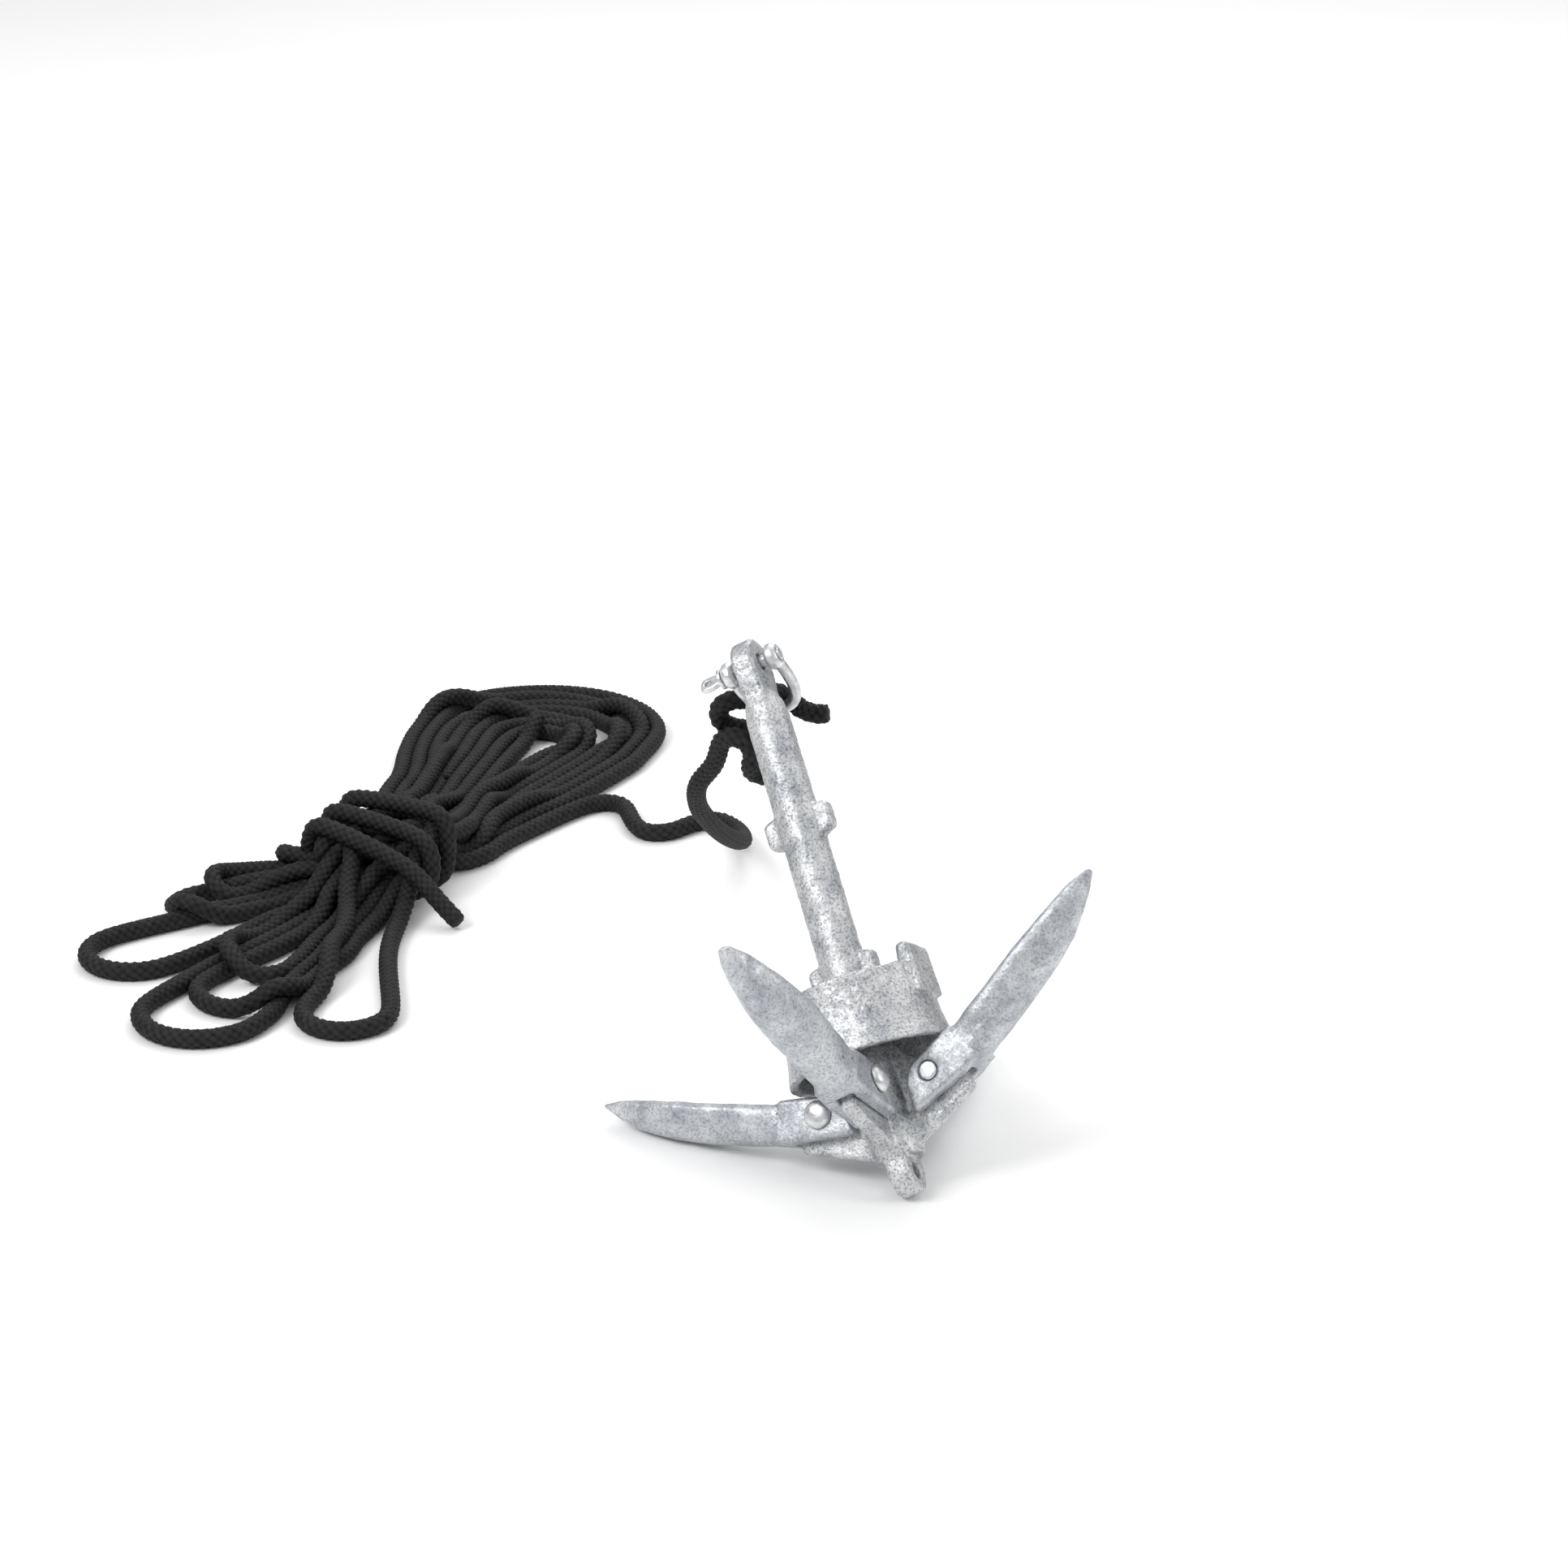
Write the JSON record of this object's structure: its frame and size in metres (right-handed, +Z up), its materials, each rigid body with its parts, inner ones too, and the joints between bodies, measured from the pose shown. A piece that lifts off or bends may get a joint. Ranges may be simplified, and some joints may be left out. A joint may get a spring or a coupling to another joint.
{
  "type": "folding grapnel anchor",
  "caption": "Folding grapnel anchor standing open on its fluke tips, sliding collar locking the flukes, bow shackle in the head eye, black rope run off to a loose hank.",
  "frame": {"origin": "centre of the anchor's own bounds, rope left out, on the level surface it rests on", "axes": "+Z up from the surface, +X towards the right fluke, +Y away from the viewer, the way the shank leans over"},
  "size_m": [0.4895, 0.7116, 0.2144],
  "materials": {
    "cast_zinc": "hot-dip galvanised casting, matt spangled grey",
    "bright_zinc": "bright zinc plate, satin",
    "black_rope": "black braided cord, soft sheen"
  },
  "bodies": {
    "shank": {"shank_casting": "cast_zinc", "rivet_right": "bright_zinc", "rivet_back": "bright_zinc", "rivet_left": "bright_zinc", "rivet_front": "bright_zinc", "rope_run": "black_rope", "rope_hank": "black_rope"},
    "collar": {"locking_collar": "cast_zinc"},
    "fluke_right": {"fluke_right": "cast_zinc"},
    "fluke_back": {"fluke_back": "cast_zinc"},
    "fluke_left": {"fluke_left": "cast_zinc"},
    "fluke_front": {"fluke_front": "cast_zinc"},
    "shackle": {"shackle_bow": "bright_zinc", "rope_knot": "black_rope"},
    "shackle_pin": {"shackle_pin": "bright_zinc"}
  },
  "joints": [
    {"name": "collar_slide", "type": "slide", "parent": "shank", "child": "collar", "axis": [-0.2568, 0.6355, 0.7281], "range_m": [0, 0.132]},
    {"name": "fluke_right_fold", "type": "hinge", "parent": "shank", "child": "fluke_right", "pos_m": [0.04181, -0.04846, 0.05357], "axis": [-0.4523, -0.7448, 0.4906], "range_deg": [0, 63.05]},
    {"name": "fluke_back_fold", "type": "hinge", "parent": "shank", "child": "fluke_back", "pos_m": [0.03016, -0.02097, 0.02547], "axis": [0.8541, -0.2034, 0.4787], "range_deg": [0, 70.05]},
    {"name": "fluke_left_fold", "type": "hinge", "parent": "shank", "child": "fluke_left", "pos_m": [-0.00773, -0.03667, 0.02581], "axis": [0.4523, 0.7448, -0.4906], "range_deg": [0, 71.05]},
    {"name": "fluke_front_fold", "type": "hinge", "parent": "shank", "child": "fluke_front", "pos_m": [0.00393, -0.06416, 0.05392], "axis": [-0.8541, 0.2034, -0.4787], "range_deg": [0, 68.05]},
    {"name": "shackle_swing", "type": "hinge", "parent": "shank", "child": "shackle", "pos_m": [-0.03996, 0.09853, 0.20133], "axis": [0.8541, -0.2034, 0.4787], "range_deg": [0, 248]},
    {"name": "pin_withdraw", "type": "slide", "parent": "shackle", "child": "shackle_pin", "axis": [-0.8541, 0.2034, -0.4787], "range_m": [0, 0.032]}
  ],
  "couplings": [
    {"joint": "fluke_right_fold", "follows": "collar_slide", "rad_per_m": 8.33},
    {"joint": "fluke_back_fold", "follows": "collar_slide", "rad_per_m": 9.2555},
    {"joint": "fluke_left_fold", "follows": "collar_slide", "rad_per_m": 9.3878},
    {"joint": "fluke_front_fold", "follows": "collar_slide", "rad_per_m": 8.9911}
  ]
}
